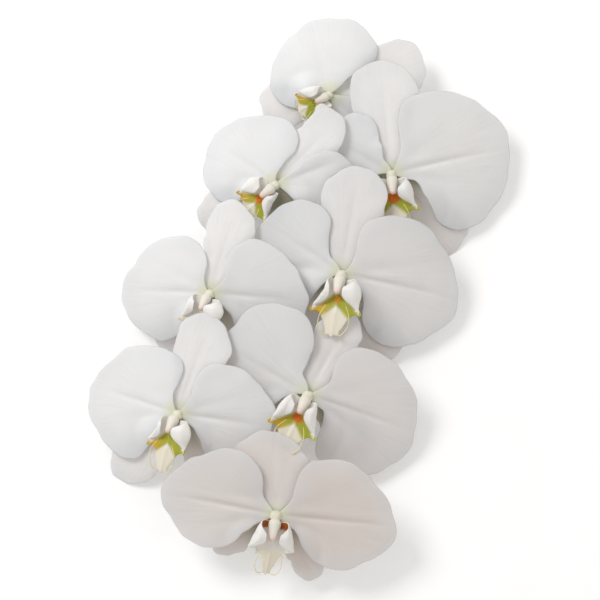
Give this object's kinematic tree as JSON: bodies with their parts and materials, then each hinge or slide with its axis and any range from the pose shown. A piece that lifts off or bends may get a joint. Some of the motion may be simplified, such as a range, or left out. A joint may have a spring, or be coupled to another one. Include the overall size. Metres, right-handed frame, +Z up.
{
  "type": "cut orchid",
  "caption": "Cut spray of a white moth orchid lying on its back: round overlapping blooms with yellow lips face up along one arching green stem.",
  "frame": {"origin": "centre of the footprint's box, on the surface that the spray lies on", "axes": "+Z up from the surface, the way the blooms face; +Y along the spray from its tip towards its cut end; +X to the right of a viewer who looks down with +Y away from them"},
  "size_m": [0.211, 0.2814, 0.037],
  "materials": {
    "petal_white": "fleshy white petal with a satin, slightly waxy skin",
    "sepal_white": "fleshy white sepal, a little thicker and creamier than the petals",
    "column_cream": "smooth waxy cream",
    "lip_yellow_and_white": "waxy, white side lobes, orange-red throat and yellow-green arms",
    "stem_green": "smooth firm green stem with a satin bloom"
  },
  "bodies": {
    "root": {"bloom_1_dorsal_sepal": "sepal_white", "bloom_1_lateral_sepal_left": "sepal_white", "bloom_1_lateral_sepal_right": "sepal_white", "bloom_1_petal_left": "petal_white", "bloom_1_petal_right": "petal_white", "bloom_1_column": "column_cream", "bloom_1_lip": "lip_yellow_and_white", "bloom_2_dorsal_sepal": "sepal_white", "bloom_2_lateral_sepal_left": "sepal_white", "bloom_2_lateral_sepal_right": "sepal_white", "bloom_2_petal_left": "petal_white", "bloom_2_petal_right": "petal_white", "bloom_2_column": "column_cream", "bloom_2_lip": "lip_yellow_and_white", "bloom_3_dorsal_sepal": "sepal_white", "bloom_3_lateral_sepal_left": "sepal_white", "bloom_3_lateral_sepal_right": "sepal_white", "bloom_3_petal_left": "petal_white", "bloom_3_petal_right": "petal_white", "bloom_3_column": "column_cream", "bloom_3_lip": "lip_yellow_and_white", "bloom_4_dorsal_sepal": "sepal_white", "bloom_4_lateral_sepal_left": "sepal_white", "bloom_4_lateral_sepal_right": "sepal_white", "bloom_4_petal_left": "petal_white", "bloom_4_petal_right": "petal_white", "bloom_4_column": "column_cream", "bloom_4_lip": "lip_yellow_and_white", "bloom_5_dorsal_sepal": "sepal_white", "bloom_5_lateral_sepal_left": "sepal_white", "bloom_5_lateral_sepal_right": "sepal_white", "bloom_5_petal_left": "petal_white", "bloom_5_petal_right": "petal_white", "bloom_5_column": "column_cream", "bloom_5_lip": "lip_yellow_and_white", "bloom_6_dorsal_sepal": "sepal_white", "bloom_6_lateral_sepal_left": "sepal_white", "bloom_6_lateral_sepal_right": "sepal_white", "bloom_6_petal_left": "petal_white", "bloom_6_petal_right": "petal_white", "bloom_6_column": "column_cream", "bloom_6_lip": "lip_yellow_and_white", "bloom_7_dorsal_sepal": "sepal_white", "bloom_7_lateral_sepal_left": "sepal_white", "bloom_7_lateral_sepal_right": "sepal_white", "bloom_7_petal_left": "petal_white", "bloom_7_petal_right": "petal_white", "bloom_7_column": "column_cream", "bloom_7_lip": "lip_yellow_and_white", "bloom_8_dorsal_sepal": "sepal_white", "bloom_8_lateral_sepal_left": "sepal_white", "bloom_8_lateral_sepal_right": "sepal_white", "bloom_8_petal_left": "petal_white", "bloom_8_petal_right": "petal_white", "bloom_8_column": "column_cream", "bloom_8_lip": "lip_yellow_and_white", "stem": "stem_green"}
  },
  "joints": []
}
